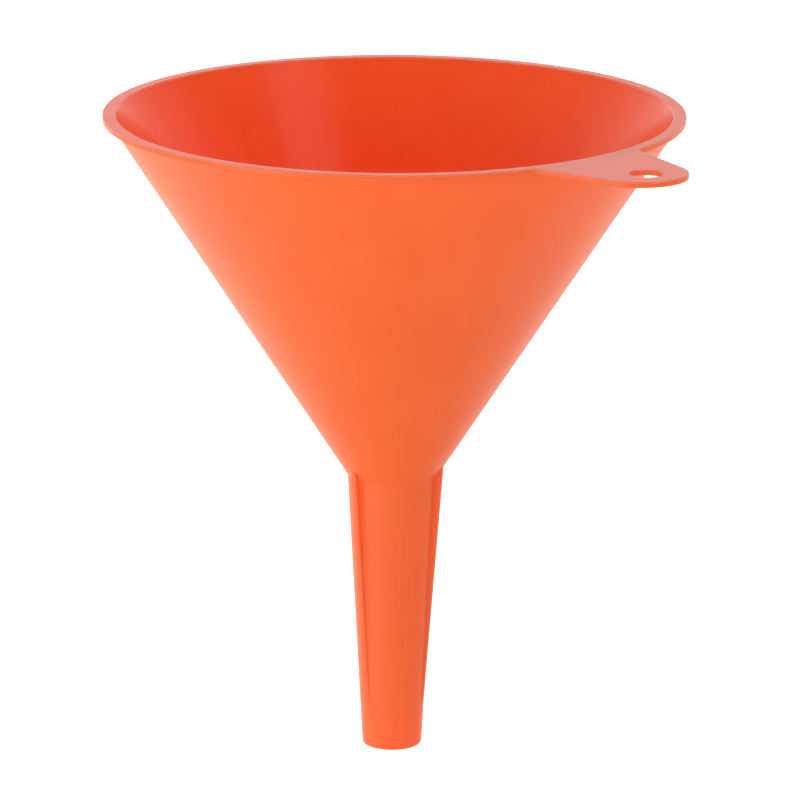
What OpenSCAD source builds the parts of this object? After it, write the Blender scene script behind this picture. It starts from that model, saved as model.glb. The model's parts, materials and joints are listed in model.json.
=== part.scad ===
// Plastic funnel with a flat rim flange, a hanging tab and three vent ribs on its spout.
// The outside of the bowl meets the outside of the spout at z = 0, where the funnel sits in a
// container's neck. +Z runs up the axis to the mouth, and the hanging tab points along +X.
// The real funnel is a single moulding: its features are closed solids that meet face to face.

/* [Bowl] */
// Outer diameter of the rim flange
rim_d = 160; // [150:1:165]
// Height of the rim's top above the throat
bowl_h = 102; // [95:1:110]
// Thickness of the bowl's wall, square to its face
bowl_wall = 2.1; // [1.8:0.1:2.4]
// Radius inside the throat, where the bowl turns into the spout
throat_round_in = 6; // [4:0.5:8]
// Radius outside the throat
throat_round_out = 2.5; // [1.5:0.5:4]

/* [Rim] */
// Thickness of the flange and of the hanging tab
flange_t = 1.5; // [1.2:0.1:2]
// How far the flange stands out past the wall under it
flange_overhang = 2; // [1.5:0.1:3]
// Depth of the rim's first stretch of wall, below the flange's top
rim_depth = 5; // [4:0.5:8]

/* [Hanging tab] */
// Distance from the funnel's axis to the centre of the hanging hole
hole_reach = 101; // [98:0.5:103]
// Diameter of the hanging hole
hole_d = 9; // [6:0.5:10]
// Distance from the funnel's axis to the centre of the tab's round end
tab_reach = 98.2; // [97:0.2:102]
// Radius of the tab's round end
tab_end_r = 13.3; // [12:0.1:14.5]
// Angle between each side of the tab and its centre line
tab_taper = 13.5; // [10:0.5:18]
// Radius of the inside corners where the tab's sides meet the rim
tab_corner_r = 2.5; // [1.5:0.5:4]

/* [Spout] */
// Length of the spout below the throat
spout_l = 78; // [72:1:90]
// Outer diameter of the spout at the throat
throat_d = 25.2; // [24:0.2:27]
// Outer diameter of the spout at its outlet
outlet_d = 16.4; // [15:0.2:17]
// Thickness of the spout's wall, square to its face
spout_wall = 1.8; // [1.6:0.1:2]
// Radius on the outer edge of the outlet
outlet_round = 1.3; // [0.8:0.1:1.4]
// Height of the lip at the outlet
lip_h = 4; // [3:0.5:6]

/* [Vent ribs] */
// Number of ribs round the spout, which keep it off the neck's wall so that air gets out
rib_count = 3; // [3:1:6]
// Angle from the hanging tab to the first rib
rib_start = 30; // [0:5:90]
// Width of a rib
rib_w = 1.6; // [1.2:0.1:3]
// How far a rib stands out from the spout at the throat
rib_h = 1.8; // [1:0.1:2.4]
// Length of a rib below the throat
rib_l = 66; // [50:1:67]

/* [Hidden] */
$fn = 96;

// Heights above and below the throat where the moulding is divided into its features
throat_top = 7;
throat_bottom = -5;
rim_bottom = bowl_h - rim_depth;
lip_top = lip_h - spout_l;

// How far a rib still stands out at its lower end, where it stops
rib_end_h = 0.2;

// Angle about the axis that is cut off the tab's inside corners, which would thin out to nothing
corner_cut = 0.4;

// A rounding arc crosses the faces beside it by this much, so that they don't merely touch
crossing = 0.002;

// Slopes of the outsides: millimetres of radius for each millimetre of height
rim_r = rim_d / 2;
throat_r = throat_d / 2;
bowl_slope = (rim_r - flange_overhang - throat_r) / (bowl_h - flange_t);
spout_slope = (throat_r - outlet_d / 2) / spout_l;

// Wall thicknesses measured straight out from the axis
bowl_wall_flat = bowl_wall * sqrt(1 + bowl_slope ^ 2);
spout_wall_flat = spout_wall * sqrt(1 + spout_slope ^ 2);

// Height at which the inner faces of the bowl and the spout cross
inner_corner_z = (bowl_wall_flat - spout_wall_flat) / (bowl_slope - spout_slope);

function bowl_out(z) = throat_r + bowl_slope * z;
function bowl_in(z) = bowl_out(z) - bowl_wall_flat;
function spout_out(z) = throat_r + spout_slope * z;
function spout_in(z) = spout_out(z) - spout_wall_flat;

// Directions of the faces in a section, in degrees from straight out
bowl_angle = atan(1 / bowl_slope);
spout_angle = atan(1 / spout_slope);

// The bit of a section between a sharp corner and the arc that rounds it. The corner is at
// radius r and height z, between faces that run off at angle_a and, counter-clockwise, angle_b.
// The bit also reaches a little past the corner and both faces, on the far side from the arc.
module corner_bit(r, z, angle_a, angle_b, round_r) {
    half = (angle_b - angle_a) / 2;
    mid = (angle_b + angle_a) / 2;
    reach = round_r / tan(half);
    // The corner, and where the arc touches each face, seen from the arc's centre
    corner = -round_r / sin(half) * [cos(mid), sin(mid)];
    touch_a = corner + reach * [cos(angle_a), sin(angle_a)];
    touch_b = corner + reach * [cos(angle_b), sin(angle_b)];
    translate([r, z] - corner) difference() {
        polygon([[0, 0], 1.1 * touch_b, 1.1 * corner, 1.1 * touch_a]);
        circle(r = round_r + crossing);
    }
}

// The corner between the faces of the spout, below, and the bowl, above
module throat_bit(r, z, round_r) {
    corner_bit(r, z, spout_angle - 180, bowl_angle, round_r);
}

// Solid outside of the bowl and spout, with no hollow, that the ribs are cut to fit
module outer_body() {
    rotate_extrude() {
        polygon([[0, -spout_l], [spout_out(-spout_l), -spout_l], [throat_r, 0],
            [bowl_out(throat_top), throat_top], [0, throat_top]]);
        throat_bit(throat_r, 0, throat_round_out);
    }
}

// Flat ring round the mouth, with the top of the bowl's wall that it grows out of
module rim_flange() {
    color("coral") rotate_extrude()
        polygon([[bowl_in(rim_bottom), rim_bottom], [bowl_out(rim_bottom), rim_bottom],
            [rim_r - flange_overhang, bowl_h - flange_t], [rim_r, bowl_h - flange_t],
            [rim_r, bowl_h], [bowl_in(bowl_h), bowl_h]]);
}

// Flat tab with a round end and a hole to hang the funnel by
module hanging_tab() {
    // The sides would meet at a point beyond the round end
    tip = tab_reach + tab_end_r / sin(tab_taper);
    // Centre of the arc that joins the rim to a side: it is tab_corner_r clear of both
    turn = asin((tab_reach * sin(tab_taper) + tab_end_r + tab_corner_r)
        / (rim_r + tab_corner_r)) - tab_taper;
    corner = (rim_r + tab_corner_r) * [cos(turn), sin(turn)];
    touch = corner - tab_corner_r * [sin(tab_taper), cos(tab_taper)];
    edge = (rim_r + tab_corner_r) * [cos(turn - corner_cut), sin(turn - corner_cut)];
    color("coral") translate([0, 0, bowl_h - flange_t]) linear_extrude(flange_t)
        difference() {
            polygon([[0, 0], edge, touch, [tip, 0], [touch.x, -touch.y], [edge.x, -edge.y]]);
            corner_bit(tip, 0, 180 - tab_taper, 180 + tab_taper, tab_end_r);
            circle(r = rim_r);
            translate(corner) circle(r = tab_corner_r + crossing);
            mirror([0, 1]) translate(corner) circle(r = tab_corner_r + crossing);
            translate([hole_reach, 0]) circle(d = hole_d);
        }
}

// Conical wall
module bowl() {
    color("orangered") rotate_extrude()
        polygon([[bowl_in(throat_top), throat_top], [bowl_out(throat_top), throat_top],
            [bowl_out(rim_bottom), rim_bottom], [bowl_in(rim_bottom), rim_bottom]]);
}

// Ring where the bowl turns into the spout, with a radius inside and outside
module throat() {
    color("tomato") rotate_extrude() difference() {
        union() {
            polygon([[spout_in(throat_bottom), throat_bottom],
                [spout_out(throat_bottom), throat_bottom], [throat_r, 0],
                [bowl_out(throat_top), throat_top], [bowl_in(throat_top), throat_top],
                [spout_in(inner_corner_z), inner_corner_z]]);
            throat_bit(throat_r, 0, throat_round_out);
        }
        throat_bit(spout_in(inner_corner_z), inner_corner_z, throat_round_in);
    }
}

// Tapered tube
module spout() {
    color("orangered") rotate_extrude()
        polygon([[spout_in(lip_top), lip_top], [spout_out(lip_top), lip_top],
            [spout_out(throat_bottom), throat_bottom], [spout_in(throat_bottom), throat_bottom]]);
}

// End of the spout, with its outer edge rounded
module outlet_lip() {
    color("coral") rotate_extrude() difference() {
        polygon([[spout_in(-spout_l), -spout_l], [spout_out(-spout_l), -spout_l],
            [spout_out(lip_top), lip_top], [spout_in(lip_top), lip_top]]);
        corner_bit(spout_out(-spout_l), -spout_l, spout_angle, 180, outlet_round);
    }
}

// One raised rib, which runs down from the bowl and fades towards the outlet
module vent_rib(turn) {
    // Height gained on the spout's face for each millimetre up, and where the bowl catches up
    rise = (rib_h - rib_end_h) / rib_l;
    top_z = rib_h / (bowl_slope - spout_slope - rise);
    color("darkorange") rotate([0, 0, turn]) difference() {
        rotate([90, 0, 0]) translate([0, 0, -rib_w / 2]) linear_extrude(rib_w)
            polygon([[outlet_d / 4, -rib_l], [spout_out(-rib_l) + rib_end_h, -rib_l],
                [bowl_out(top_z), top_z], [outlet_d / 4, top_z]]);
        outer_body();
    }
}

rim_flange();
hanging_tab();
bowl();
throat();
spout();
outlet_lip();
for (k = [1:rib_count])
    vent_rib(rib_start + (k - 1) * 360 / rib_count);
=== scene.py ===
"""An orange moulded plastic funnel, with its plain studio floor, soft light and camera.

Every measure is in metres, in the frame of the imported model: the axis is Z, the mouth is up and
the hanging tab points along +X.
"""
import json
import math

import bmesh
import bpy
from mathutils import Matrix, Vector
from mathutils.geometry import delaunay_2d_cdt


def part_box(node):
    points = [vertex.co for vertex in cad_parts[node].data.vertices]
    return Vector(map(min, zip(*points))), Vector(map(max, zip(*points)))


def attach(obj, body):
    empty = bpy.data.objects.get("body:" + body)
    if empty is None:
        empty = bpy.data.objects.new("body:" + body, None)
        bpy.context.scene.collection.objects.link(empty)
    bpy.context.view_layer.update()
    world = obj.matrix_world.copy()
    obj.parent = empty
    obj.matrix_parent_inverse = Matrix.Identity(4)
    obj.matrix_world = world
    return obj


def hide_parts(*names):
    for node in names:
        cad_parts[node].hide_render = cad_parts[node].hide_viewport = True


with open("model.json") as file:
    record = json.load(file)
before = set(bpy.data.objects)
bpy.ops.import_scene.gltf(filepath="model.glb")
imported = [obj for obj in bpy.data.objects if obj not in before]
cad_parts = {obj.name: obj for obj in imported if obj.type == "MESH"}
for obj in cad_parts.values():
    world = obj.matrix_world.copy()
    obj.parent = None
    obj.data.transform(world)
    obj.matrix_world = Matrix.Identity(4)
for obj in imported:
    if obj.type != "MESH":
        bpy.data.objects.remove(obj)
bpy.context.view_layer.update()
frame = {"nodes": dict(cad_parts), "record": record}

MM = 0.001

# Wall thicknesses and radii that the boxes of the CAD nodes don't give
BOWL_WALL = 2.1 * MM
SPOUT_WALL = 1.8 * MM
FLANGE_OVERHANG = 2.0 * MM
THROAT_ROUND_IN = 6.0 * MM
THROAT_ROUND_OUT = 2.5 * MM
OUTLET_ROUND = 1.3 * MM
TAB_TAPER = math.radians(13.5)
TAB_END_R = 13.3 * MM
TAB_CORNER_R = 2.5 * MM
HOLE_R = 4.5 * MM
RIB_WIDTH = 1.6 * MM
RIB_HEIGHT = 1.8 * MM
RIB_END_HEIGHT = 0.2 * MM

# Small radii on the free edges of the moulding
EDGE = 0.25 * MM
UNDER_FLANGE_ROUND = 0.6 * MM
OUTLET_INNER_EDGE = 0.4 * MM
RIB_EDGE = 0.3 * MM
RIB_FOOT = 0.45 * MM

# A row of points this far from an edge keeps the flat face beside it flat in shading
BESIDE_ROUND = 0.3
BESIDE_TAB_EDGE = 0.1 * MM

# The tab's inner end slopes down into the flange, over this width, by this depth
LET_IN_WIDTH = 0.3 * MM
LET_IN_DEPTH = 0.05 * MM

# A rib starts this far up the throat, reaches this far under the spout's skin, melts into the
# throat over its blend, and runs out at its lower end over its fade
RIB_TOP = 4.0 * MM
RIB_BURIED = 0.15 * MM
RIB_BLEND = 0.12 * MM
RIB_FADE = 3.0 * MM

# The camera: degrees, metres and millimetres of lens
CAMERA_AZIMUTH = 48.8
CAMERA_ELEVATION = 14.21
CAMERA_DISTANCE = 2.018
CAMERA_AIM_Z = 0.0209
CAMERA_AIM_RIGHT = 0.00185
CAMERA_ROLL = math.radians(0.25)
CAMERA_LENS = 328.4

# The floor: metres, then the strength of its glow at a near and a far distance from its middle
FLOOR_DROP = 0.4
FLOOR_HALF = 12
FLOOR_NEAR = 0.2
FLOOR_FAR = 0.6
# The weak glow near the middle is a painted soft shadow under the funnel
FLOOR_GLOW_NEAR = 0.2
FLOOR_GLOW_FAR = 1.0

# The studio's strength at eye level and overhead
WORLD_LEVEL = 1.3
WORLD_TOP = 0.0

# How much brighter the backdrop is, and the cosines of its edge's angles from straight behind
BACKDROP = 0.4
BACKDROP_OUTER = 0.34
BACKDROP_INNER = 0.44

# One side is brighter by LEAN than the middle, and the other side darker by as much
LEAN = 0.25
FLOOR_BRIGHT_AZIMUTH = -130
WORLD_BRIGHT_AZIMUTH = -85

# Colours of the plastic, what share of its light comes through its walls, and its roughness
BASE_LIGHT = (0.97, 0.250, 0.050, 1)
BASE_DARK = (0.93, 0.222, 0.042, 1)
# A painted highlight: the pale colour of the rim's and tab's rounded top edges
BASE_EDGE_HIGHLIGHT = (0.98, 0.62, 0.34, 1)
GLOW = (1.0, 0.13, 0.032, 1)
GLOW_SHARE = 0.54
GLOW_SHARE_GRAZING = 0.38
ROUGHNESS_OUTSIDE = 0.36
ROUGHNESS_INSIDE = 0.21
PLASTIC_IOR = 1.5

# Depth below the rim's top where the painted edge highlight ends
EDGE_HIGHLIGHT_DEPTH = 0.4 * MM
EDGE_HIGHLIGHT_FADE = 0.1 * MM

# How finely the meshes are divided; arcs up to SMALL_EDGE in radius need fewer points
COLUMNS = 288
BOWL_ROWS = 12
SPOUT_ROWS = 10
RIB_ROWS = 24
RIB_TOP_ROWS = 32
ARC_STEP = math.radians(12)
FINE_STEP = math.radians(4)
EDGE_STEP = math.radians(45)
SMALL_EDGE = 0.4 * MM
TAB_EDGE_STEPS = 4
SMOOTH_UNDER = math.radians(35)
SAME_PLACE = 0.0005 * MM


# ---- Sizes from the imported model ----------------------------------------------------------

def half_width(node):
    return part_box(node)[1].y


def low(node):
    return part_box(node)[0].z


def high(node):
    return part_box(node)[1].z


def mount_place(name):
    return next(m["pos_m"] for m in frame["record"]["mounts"] if m["name"] == name)


top = high("rim_flange")
flange_low = low("hanging_tab")
rim_r = half_width("rim_flange")
spout_end = low("outlet_lip")
tab_end = Vector((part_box("hanging_tab")[1].x - TAB_END_R, 0))
hole = Vector(mount_place("hanging_hole")[:2])

# Millimetres of radius for each millimetre of height, outside
bowl_slope = (half_width("bowl") - half_width("throat")) / (high("bowl") - high("throat"))
spout_slope = (half_width("spout") - half_width("outlet_lip")) / (high("spout") - high("outlet_lip"))
throat_r = half_width("throat") - bowl_slope * high("throat")


def bowl_out(z):
    return throat_r + bowl_slope * z


def bowl_in(z):
    return bowl_out(z) - BOWL_WALL * math.hypot(1, bowl_slope)


def spout_out(z):
    return throat_r + spout_slope * z


def spout_in(z):
    return spout_out(z) - SPOUT_WALL * math.hypot(1, spout_slope)


# ---- Mesh helpers -------------------------------------------------------------------------

def arc(centre, radius, start, end, step=ARC_STEP):
    """Points on an arc, from angle start to angle end."""
    steps = max(2, math.ceil(abs(end - start) / step))
    angles = [start + (end - start) * k / steps for k in range(steps + 1)]
    return [Vector((centre[0] + radius * math.cos(a), centre[1] + radius * math.sin(a))) for a in angles]


def rounded(corners):
    """A closed outline through corners (r, z, radius), each turned into an arc of that radius.

    A row close beside each arc keeps the flat face next to it flat in shading.
    """
    outline = []
    for k, (r, z, radius) in enumerate(corners):
        here = Vector((r, z))
        if not radius:
            outline.append(here)
            continue
        before = (Vector(corners[k - 1][:2]) - here).normalized()
        after = (Vector(corners[(k + 1) % len(corners)][:2]) - here).normalized()
        half = before.angle(after) / 2
        reach = radius / math.tan(half)
        centre = here + (before + after).normalized() * radius / math.sin(half)
        first = here + before * reach - centre
        last = here + after * reach - centre
        turn = first.angle(last)
        steps = max(2, math.ceil(turn / (EDGE_STEP if radius <= SMALL_EDGE else ARC_STEP)))
        outline.append(here + before * (reach + radius * BESIDE_ROUND))
        for i in range(steps + 1):
            t = i / steps
            swing = first * math.sin((1 - t) * turn) + last * math.sin(t * turn)
            outline.append(centre + swing / math.sin(turn))
        outline.append(here + after * (reach + radius * BESIDE_ROUND))
    return outline


def finished(name, mesh_data, nodes):
    """A piece from a bmesh, in the funnel's plastic, standing for the CAD nodes given.

    Its flat ends where it meets another piece get the see-through material.
    """
    bmesh.ops.remove_doubles(mesh_data, verts=mesh_data.verts, dist=SAME_PLACE)
    bmesh.ops.recalc_face_normals(mesh_data, faces=mesh_data.faces)
    mesh = bpy.data.meshes.new(name)
    mesh_data.to_mesh(mesh)
    mesh_data.free()
    mesh.shade_smooth()
    mesh.set_sharp_from_angle(angle=SMOOTH_UNDER)
    piece = bpy.data.objects.new(name, mesh)
    bpy.context.scene.collection.objects.link(piece)
    mesh.materials.append(plastic)
    mesh.materials.append(joint)
    for face in mesh.polygons:
        gap = min(abs(face.center.z - height) for height in joint_heights)
        if abs(face.normal.z) > 0.999 and gap < 2 * SAME_PLACE:
            face.material_index = 1
    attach(piece, "root")
    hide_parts(*nodes)


def revolved(name, outline, nodes):
    """The closed outline of (r, z) points turned round the axis."""
    mesh_data = bmesh.new()
    rings = []
    for k in range(COLUMNS):
        turn = 2 * math.pi * k / COLUMNS
        ring = [mesh_data.verts.new((p[0] * math.cos(turn), p[0] * math.sin(turn), p[1])) for p in outline]
        rings.append(ring)
    for k, ring in enumerate(rings):
        following = rings[(k + 1) % COLUMNS]
        for i in range(len(outline)):
            j = (i + 1) % len(outline)
            mesh_data.faces.new((ring[i], following[i], following[j], ring[j]))
    finished(name, mesh_data, nodes)


def rows_between(z_from, z_to, count):
    return [z_from + (z_to - z_from) * k / count for k in range(count + 1)]


# ---- Material -----------------------------------------------------------------------------

def new_material(name):
    material = bpy.data.materials.new(name)
    material.use_nodes = True
    return material


class Graph:
    """Short ways to add shader nodes to a material or a world."""

    def __init__(self, owner):
        self.owner = owner
        self.nodes = owner.node_tree.nodes
        self.links = owner.node_tree.links
        self.shader = self.nodes.get("Principled BSDF")

    def add(self, kind, sockets=None, **settings):
        """A node with its settings; sockets maps an input to a constant or to another node's output."""
        node = self.nodes.new(kind)
        for key, value in settings.items():
            setattr(node, key, value)
        for key, value in (sockets or {}).items():
            self.put(node, key, value)
        return node

    def put(self, node, key, value):
        if isinstance(value, bpy.types.NodeSocket):
            self.links.new(value, node.inputs[key])
        else:
            node.inputs[key].default_value = value

    def show(self, node):
        """Makes this node the material's surface."""
        self.put(self.nodes["Material Output"], "Surface", node.outputs[0])

    def noise(self, vector, scale, detail, roughness=0.5):
        node = self.add("ShaderNodeTexNoise", {"Vector": vector, "Scale": scale, "Detail": detail,
                                               "Roughness": roughness})
        return node.outputs["Fac"]

    def remap(self, value, low_in, high_in, low_out, high_out):
        node = self.add("ShaderNodeMapRange", {0: value, 1: low_in, 2: high_in, 3: low_out, 4: high_out})
        return node.outputs[0]

    def math(self, operation, first, second):
        return self.add("ShaderNodeMath", {0: first, 1: second}, operation=operation).outputs[0]

    def mix(self, factor, first, second):
        """Colour between first and second."""
        node = self.add("ShaderNodeMix", data_type="RGBA")
        self.put(node, 0, factor)
        self.put(node, 6, first)
        self.put(node, 7, second)
        return node.outputs[2]


def noise_along_flow(g, place):
    """Marks drawn out along the flow: they vary round the axis and only a little with height."""
    flat = g.add("ShaderNodeVectorMath", {0: place, 1: (1, 1, 0)}, operation="MULTIPLY").outputs[0]
    turn = g.add("ShaderNodeVectorMath", {0: flat}, operation="NORMALIZE").outputs[0]
    height = g.add("ShaderNodeVectorMath", {0: place, 1: (0, 0, 9)}, operation="MULTIPLY").outputs[0]
    flow = g.add("ShaderNodeVectorMath", {0: turn, 1: height}, operation="ADD").outputs[0]
    return g.noise(flow, 7, 3)


def painted_edge_highlight(g, place, up, scuffs):
    """Painted highlight: paler plastic only on the rim's and tab's rounded top edges, where they tilt up,
    broken up by scuffs.
    """
    tilt = g.math("MULTIPLY", up, g.math("SUBTRACT", 1, up))
    z = g.add("ShaderNodeSeparateXYZ", {0: place}).outputs["Z"]
    at_top = g.remap(z, top - EDGE_HIGHLIGHT_DEPTH, top - EDGE_HIGHLIGHT_DEPTH + EDGE_HIGHLIGHT_FADE, 0, 1)
    broken = g.remap(scuffs, 0.4, 0.6, 0.4, 1)
    return g.math("MULTIPLY", g.math("MULTIPLY", g.remap(tilt, 0.05, 0.2, 0, 0.9), at_top), broken)


def make_plastic():
    """Satin orange polyethylene: faint flow marks in colour and gloss, a fine moulded grain, and a painted
    highlight along the top edges.
    """
    g = Graph(new_material("satin_orange_polyethylene"))
    place = g.add("ShaderNodeTexCoord").outputs["Object"]
    surface = g.add("ShaderNodeNewGeometry").outputs["Normal"]
    up = g.add("ShaderNodeSeparateXYZ", {0: surface}).outputs["Z"]
    flow_marks = noise_along_flow(g, place)
    clouds = g.noise(place, 30, 3)
    waves = g.noise(place, 55, 2)
    scuffs = g.noise(place, 420, 5, 0.65)
    grain = g.noise(place, 2600, 2)

    # Colour: clouds and flow marks a few per cent lighter or darker
    tone = g.math("ADD", g.math("MULTIPLY", clouds, 0.5), g.math("MULTIPLY", flow_marks, 0.5))
    body = g.mix(g.remap(tone, 0.35, 0.65, 0, 1), BASE_DARK, BASE_LIGHT)
    # Painted highlight: the rounded top edges get a paler colour where they tilt up
    g.put(g.shader, "Base Color", g.mix(painted_edge_highlight(g, place, up, scuffs), body, BASE_EDGE_HIGHLIGHT))

    # Gloss: faces that look up are smoother; patchy with the flow marks, rougher in scuffs
    side = g.remap(up, -0.2, 0.2, ROUGHNESS_OUTSIDE, ROUGHNESS_INSIDE)
    gloss = g.math("ADD", g.remap(flow_marks, 0.35, 0.65, -0.03, 0.03), g.remap(scuffs, 0.5, 0.75, 0, 0.08))
    g.put(g.shader, "Roughness", g.math("ADD", gloss, side))
    g.put(g.shader, "IOR", PLASTIC_IOR)

    # Relief: broad sink waves in the walls and the fine grain of the mould
    broad = g.add("ShaderNodeBump", {"Height": waves, "Strength": 0.2, "Distance": 0.2 * MM})
    fine = g.add("ShaderNodeBump", {"Height": grain, "Strength": 0.4, "Distance": 0.008 * MM,
                                    "Normal": broad.outputs[0]})
    g.put(g.shader, "Normal", fine.outputs[0])

    # The walls are thin enough for some red light to come through, less where the surface mirrors
    glow = g.add("ShaderNodeBsdfTranslucent", {"Color": GLOW})
    mirror = g.add("ShaderNodeFresnel", {"IOR": PLASTIC_IOR}).outputs[0]
    share = g.remap(mirror, 0.04, 0.4, GLOW_SHARE, GLOW_SHARE_GRAZING)
    g.show(g.add("ShaderNodeMixShader", {0: share, 1: g.shader.outputs[0], 2: glow.outputs[0]}))
    return g.owner


def make_joint():
    """The faces where two pieces meet inside the moulding, which light passes through."""
    g = Graph(new_material("inside_the_moulding"))
    g.show(g.add("ShaderNodeBsdfTransparent"))
    return g.owner


plastic = make_plastic()
joint = make_joint()
joint_heights = [low("rim_flange"), high("throat"), low("throat"), high("outlet_lip")]


# ---- Rings round the axis -----------------------------------------------------------------

def make_rim():
    bottom = low("rim_flange")
    revolved("rim_flange", rounded([
        (bowl_in(bottom), bottom, 0),
        (bowl_out(bottom), bottom, 0),
        (rim_r - FLANGE_OVERHANG, flange_low, UNDER_FLANGE_ROUND),
        (rim_r, flange_low, EDGE),
        (rim_r, top, EDGE),
        (bowl_in(top), top, EDGE),
    ]), ["rim_flange"])


def make_bowl():
    heights = rows_between(low("bowl"), high("bowl"), BOWL_ROWS)
    outside = [(bowl_out(z), z) for z in heights]
    inside = [(bowl_in(z), z) for z in reversed(heights)]
    revolved("bowl", outside + inside, ["bowl"])


def throat_corners():
    """Corners of the throat's section, counter-clockwise from its lower inside edge."""
    bottom, upper = low("throat"), high("throat")
    crossing = (bowl_in(0) - spout_in(0)) / (spout_slope - bowl_slope)
    return [
        (spout_in(bottom), bottom, 0),
        (spout_out(bottom), bottom, 0),
        (throat_r, 0, THROAT_ROUND_OUT),
        (bowl_out(upper), upper, 0),
        (bowl_in(upper), upper, 0),
        (spout_in(crossing), crossing, THROAT_ROUND_IN),
    ]


def make_throat():
    revolved("throat", rounded(throat_corners()), ["throat"])


def make_spout():
    heights = rows_between(low("spout"), high("spout"), SPOUT_ROWS)
    outside = [(spout_out(z), z) for z in heights]
    inside = [(spout_in(z), z) for z in reversed(heights)]
    revolved("spout", outside + inside, ["spout"])


def make_lip():
    upper = high("outlet_lip")
    revolved("outlet_lip", rounded([
        (spout_in(upper), upper, 0),
        (spout_in(spout_end), spout_end, OUTLET_INNER_EDGE),
        (spout_out(spout_end), spout_end, OUTLET_ROUND),
        (spout_out(upper), upper, 0),
    ]), ["outlet_lip"])


# ---- Hanging tab --------------------------------------------------------------------------

def tab_turn():
    """Angle about the axis, from the tab's middle, where its corners start at the rim."""
    reach = tab_end.x * math.sin(TAB_TAPER) + TAB_END_R + TAB_CORNER_R
    return math.asin(reach / (rim_r + TAB_CORNER_R)) - TAB_TAPER


def tab_outline(inset):
    """The tab's free edge, from the rim round the end and back, moved inwards by inset."""
    turn = tab_turn()
    centre = (rim_r + TAB_CORNER_R) * Vector((math.cos(turn), math.sin(turn)))
    corner = arc(centre, TAB_CORNER_R + inset, math.pi + turn, 1.5 * math.pi - TAB_TAPER)
    end = arc(tab_end, TAB_END_R - inset, math.pi / 2 - TAB_TAPER, TAB_TAPER - math.pi / 2, FINE_STEP)
    other_corner = [Vector((p.x, -p.y)) for p in reversed(corner)]
    return corner + end + other_corner


def hole_round(inset):
    """Points round the hanging hole, widened by inset, with the first not repeated."""
    return arc(hole, HOLE_R + inset, 0, 2 * math.pi, FINE_STEP)[:-1]


def is_inside(spot, corners):
    """Whether the spot is inside the outline: a line from it to one side crosses an odd count."""
    crossings = 0
    for a, b in zip(corners, corners[1:] + corners[:1]):
        if (a.y > spot.y) != (b.y > spot.y):
            crossings += spot.x < a.x + (b.x - a.x) * (spot.y - a.y) / (b.y - a.y)
    return crossings % 2 == 1


def tab_plan():
    """The tab seen from above: its points, how deep each lies under the face, and its triangles."""
    points, depths, edges = [], [], []

    def add(chain, depth, closed=False):
        first = len(points)
        points.extend(chain)
        depths.extend([depth] * len(chain))
        last = len(points) - 1
        edges.extend((i, i + 1) for i in range(first, last))
        if closed:
            edges.append((last, first))
        return first, last

    for k in range(TAB_EDGE_STEPS + 1):
        bend = math.pi / 2 * k / TAB_EDGE_STEPS
        inset = EDGE * (1 - math.cos(bend))
        depth = EDGE * (1 - math.sin(bend))
        add(tab_outline(inset), depth)
        add(hole_round(inset), depth, closed=True)
    beside = EDGE + BESIDE_TAB_EDGE
    add(tab_outline(beside)[2:-2], 0)
    add(hole_round(beside), 0, closed=True)
    turn = tab_turn()
    rim_step = 2 * math.pi / COLUMNS
    add(arc((0, 0), rim_r - EDGE + BESIDE_TAB_EDGE, -0.97 * turn, 0.97 * turn, rim_step), 0)
    add(arc((0, 0), rim_r - EDGE, -turn, turn, rim_step), 0)
    inner = add(arc((0, 0), rim_r - EDGE - LET_IN_WIDTH, -turn, turn, rim_step), LET_IN_DEPTH)

    # The free edge was added first; two short sides join its ends to the inner end
    free_edge = tab_outline(0)
    edges += [(len(free_edge) - 1, inner[0]), (inner[1], 0)]
    boundary = free_edge + points[inner[0]:inner[1] + 1]
    spots, _, faces, sources, _, _ = delaunay_2d_cdt(points, edges, [], 0, 1e-9)
    spot_depths = [depths[source[0]] if source else 0 for source in sources]

    def is_plastic(face):
        middle = sum((spots[i] for i in face), Vector((0, 0))) / len(face)
        return (middle - hole).length >= HOLE_R and is_inside(middle, boundary)

    return spots, spot_depths, [face for face in faces if is_plastic(face)]


def make_tab():
    """A plate with rounded edges, whose inner end is let into the flange."""
    spots, depths, faces = tab_plan()
    mesh_data = bmesh.new()
    upper = [mesh_data.verts.new((p.x, p.y, top - d)) for p, d in zip(spots, depths)]
    lower = [mesh_data.verts.new((p.x, p.y, flange_low + d)) for p, d in zip(spots, depths)]
    for face in faces:
        mesh_data.faces.new([upper[i] for i in face])
        mesh_data.faces.new([lower[i] for i in reversed(face)])
    # An edge that only one triangle has is on the outside, and gets a face from top to bottom
    sides = {}
    for face in faces:
        for a, b in zip(face, face[1:] + face[:1]):
            if (b, a) in sides:
                del sides[(b, a)]
            else:
                sides[(a, b)] = True
    for a, b in sides:
        mesh_data.faces.new((upper[b], upper[a], lower[a], lower[b]))
    loose = [v for v in mesh_data.verts if not v.link_faces]
    bmesh.ops.delete(mesh_data, geom=loose, context="VERTS")
    finished("hanging_tab", mesh_data, ["hanging_tab"])


# ---- Vent ribs ----------------------------------------------------------------------------

def outside_radius(z):
    """Radius of the outside of the spout, throat and bowl at one height."""
    outline = rounded(throat_corners())
    outline = [p for p in outline if p.x > spout_in(p.y) + SPOUT_WALL / 2]
    outline.sort(key=lambda p: p.y)
    if z <= outline[0].y:
        return spout_out(z)
    for a, b in zip(outline, outline[1:]):
        if a.y <= z <= b.y:
            return a.x + (b.x - a.x) * (z - a.y) / (b.y - a.y)
    return bowl_out(z)


def rib_section(height):
    """Half of a rib's section, as (distance from its middle, height), from the foot to the top."""
    foot = min(RIB_FOOT, height / 2)
    edge = min(RIB_EDGE, height / 2)
    half = RIB_WIDTH / 2
    buried = [Vector((half + foot, -RIB_BURIED))]
    foot_arc = arc((half + foot, foot), foot, -math.pi / 2, -math.pi)
    edge_arc = arc((half - edge, height - edge), edge, 0, math.pi / 2)
    return buried + foot_arc + edge_arc + [Vector((half * 0.35, height))]


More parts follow.
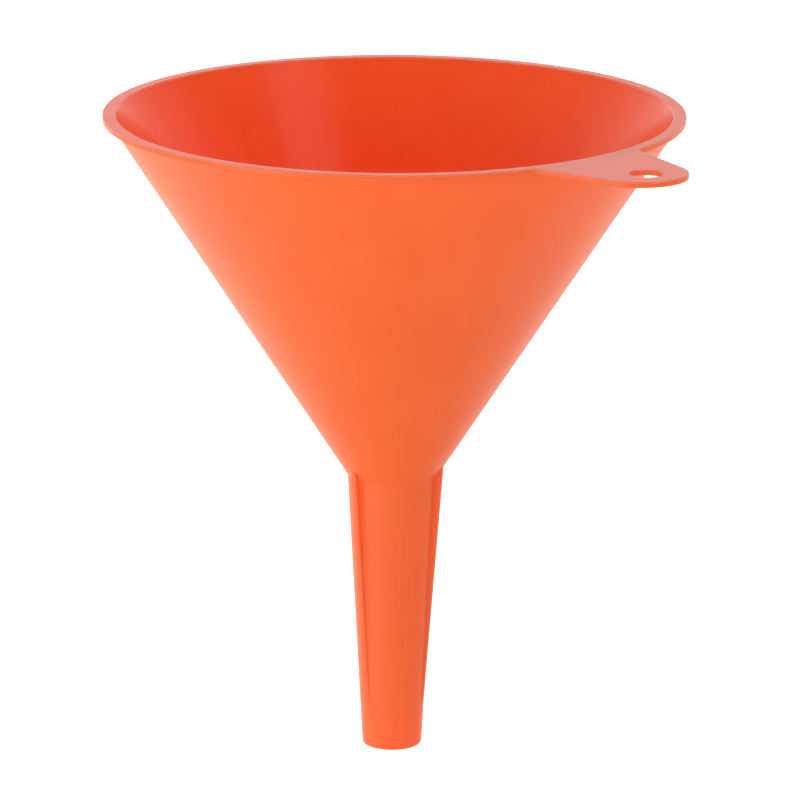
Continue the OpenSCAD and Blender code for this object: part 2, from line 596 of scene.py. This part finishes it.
def make_rib(node, direction):
    """A rib down the spout, at its angle about the axis; its sides curve out into the spout."""
    bottom = low(node)
    rise = (RIB_HEIGHT - RIB_END_HEIGHT) / -bottom
    heights = rows_between(bottom, -RIB_TOP, RIB_ROWS) + rows_between(-RIB_TOP, RIB_TOP, RIB_TOP_ROWS)[1:]
    mesh_data = bmesh.new()
    rings = []
    for z in heights:
        base = outside_radius(z)
        clear = spout_out(z) + RIB_END_HEIGHT + rise * (z - bottom) - base
        height = (clear + math.hypot(clear, RIB_BLEND)) / 2
        fade = min(1, (z - bottom) / RIB_FADE)
        height *= 1 - (1 - fade) ** 2
        half = rib_section(max(height, 0.01 * MM))
        section = half + [Vector((-p.x, p.y)) for p in reversed(half)]
        ring = []
        for p in section:
            out = math.sqrt(base ** 2 - p.x ** 2) + p.y
            spot = Matrix.Rotation(direction, 3, "Z") @ Vector((out, p.x, z))
            ring.append(mesh_data.verts.new(spot))
        rings.append(ring)
    for ring, following in zip(rings, rings[1:]):
        for i in range(len(ring)):
            j = (i + 1) % len(ring)
            mesh_data.faces.new((ring[i], ring[j], following[j], following[i]))
    mesh_data.faces.new(rings[0])
    mesh_data.faces.new(rings[-1])
    finished(node, mesh_data, [node])


def make_ribs():
    for node in sorted(n for n in frame["nodes"] if n.startswith("vent_rib")):
        lowest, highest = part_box(node)
        middle = (lowest + highest) / 2
        make_rib(node, math.atan2(middle.y, middle.x))


# ---- Studio -------------------------------------------------------------------------------

def place_in(scene_object):
    bpy.context.scene.collection.objects.link(scene_object)
    return scene_object


def toward(azimuth, elevation):
    """Unit vector from the funnel, in degrees; azimuth 0 is -Y and 90 is +X."""
    a, e = math.radians(azimuth), math.radians(elevation)
    return Vector((math.sin(a) * math.cos(e), -math.cos(a) * math.cos(e), math.sin(e)))


def make_camera():
    """A long lens two metres away, a little above the mouth, with the tab to the right and near."""
    camera = place_in(bpy.data.objects.new("camera", bpy.data.cameras.new("camera")))
    bpy.context.scene.camera = camera
    back = toward(CAMERA_AZIMUTH, CAMERA_ELEVATION)
    right = toward(CAMERA_AZIMUTH + 90, 0)
    aim = Vector((0, 0, CAMERA_AIM_Z)) + right * CAMERA_AIM_RIGHT
    camera.matrix_world = (Matrix.Translation(aim + back * CAMERA_DISTANCE)
                           @ back.to_track_quat("Z", "Y").to_matrix().to_4x4()
                           @ Matrix.Rotation(CAMERA_ROLL, 4, "Z"))
    camera.data.lens = CAMERA_LENS
    camera.data.sensor_width = 36
    camera.data.clip_start = 0.1
    camera.data.clip_end = 50


def make_light(name, azimuth, elevation, distance, size, power):
    """A soft box that faces the funnel and that the camera doesn't see; azimuth is from the camera's."""
    data = bpy.data.lights.new(name, "AREA")
    data.shape = "RECTANGLE"
    data.size, data.size_y = size
    data.energy = power
    light = place_in(bpy.data.objects.new(name, data))
    back = toward(CAMERA_AZIMUTH + azimuth, elevation)
    light.location = back * distance
    light.rotation_mode = "QUATERNION"
    light.rotation_quaternion = back.to_track_quat("Z", "Y")
    light.visible_camera = False


def lean(g, direction, azimuth):
    """Brightness for a direction: 1 in the middle, and LEAN more towards the azimuth."""
    side = toward(CAMERA_AZIMUTH + azimuth, 0) * LEAN
    dot = g.add("ShaderNodeVectorMath", {0: direction, 1: side}, operation="DOT_PRODUCT")
    return g.math("ADD", dot.outputs["Value"], 1)


def make_floor():
    """A pale sheet well below the outlet, whose glow also lights the funnel: brighter towards the back, and
    dimmer in the middle, a painted soft shadow under the funnel.
    """
    mesh_data = bmesh.new()
    corners = [(-FLOOR_HALF, -FLOOR_HALF), (FLOOR_HALF, -FLOOR_HALF),
               (FLOOR_HALF, FLOOR_HALF), (-FLOOR_HALF, FLOOR_HALF)]
    mesh_data.faces.new([mesh_data.verts.new((x, y, 0)) for x, y in corners])
    mesh = bpy.data.meshes.new("floor")
    mesh_data.to_mesh(mesh)
    mesh_data.free()
    floor = place_in(bpy.data.objects.new("floor", mesh))
    floor.location.z = spout_end - FLOOR_DROP
    g = Graph(new_material("white_acrylic"))
    g.shader.inputs["Base Color"].default_value = (0.8, 0.8, 0.8, 1)
    g.shader.inputs["Roughness"].default_value = 0.9
    g.shader.inputs["Specular IOR Level"].default_value = 0.2
    g.shader.inputs["Emission Color"].default_value = (1, 1, 1, 1)
    place = g.add("ShaderNodeTexCoord").outputs["Object"]
    away = g.add("ShaderNodeVectorMath", {0: place}, operation="LENGTH").outputs["Value"]
    direction = g.add("ShaderNodeVectorMath", {0: place}, operation="NORMALIZE").outputs[0]
    # Painted shadow: the glow fades to dim under the funnel, and it is brighter towards one side
    glow = g.remap(away, FLOOR_NEAR, FLOOR_FAR, FLOOR_GLOW_NEAR, FLOOR_GLOW_FAR)
    g.put(g.shader, "Emission Strength", g.math("MULTIPLY", glow, lean(g, direction, FLOOR_BRIGHT_AZIMUTH)))
    mesh.materials.append(g.owner)


def make_world():
    """A white studio, brightest at eye level, on one side and where its backdrop hangs."""
    world = bpy.data.worlds.new("white_studio")
    world.use_nodes = True
    g = Graph(world)
    direction = g.add("ShaderNodeTexCoord").outputs["Generated"]
    height = g.add("ShaderNodeSeparateXYZ", {0: direction}).outputs["Z"]
    fade = g.remap(height, 0, 1, WORLD_LEVEL, WORLD_TOP)
    back = g.add("ShaderNodeVectorMath", {0: direction, 1: toward(CAMERA_AZIMUTH + 180, 0)},
                 operation="DOT_PRODUCT").outputs["Value"]
    backdrop = g.remap(back, BACKDROP_OUTER, BACKDROP_INNER, 1, 1 + BACKDROP)
    side = lean(g, direction, WORLD_BRIGHT_AZIMUTH)
    strength = g.math("MULTIPLY", g.math("MULTIPLY", fade, backdrop), side)
    g.put(g.nodes["Background"], "Strength", strength)
    g.nodes["Background"].inputs["Color"].default_value = (1, 1, 1, 1)
    bpy.context.scene.world = world
    bpy.context.scene.view_settings.view_transform = "Standard"


make_camera()
make_rim()
make_bowl()
make_throat()
make_spout()
make_lip()
make_tab()
make_ribs()
make_floor()
make_world()
make_light("soft_box", 56, 45, 1.6, (0.6, 0.7), 2.0)
make_light("key_left", -50, 0, 1.6, (0.8, 0.8), 5.0)
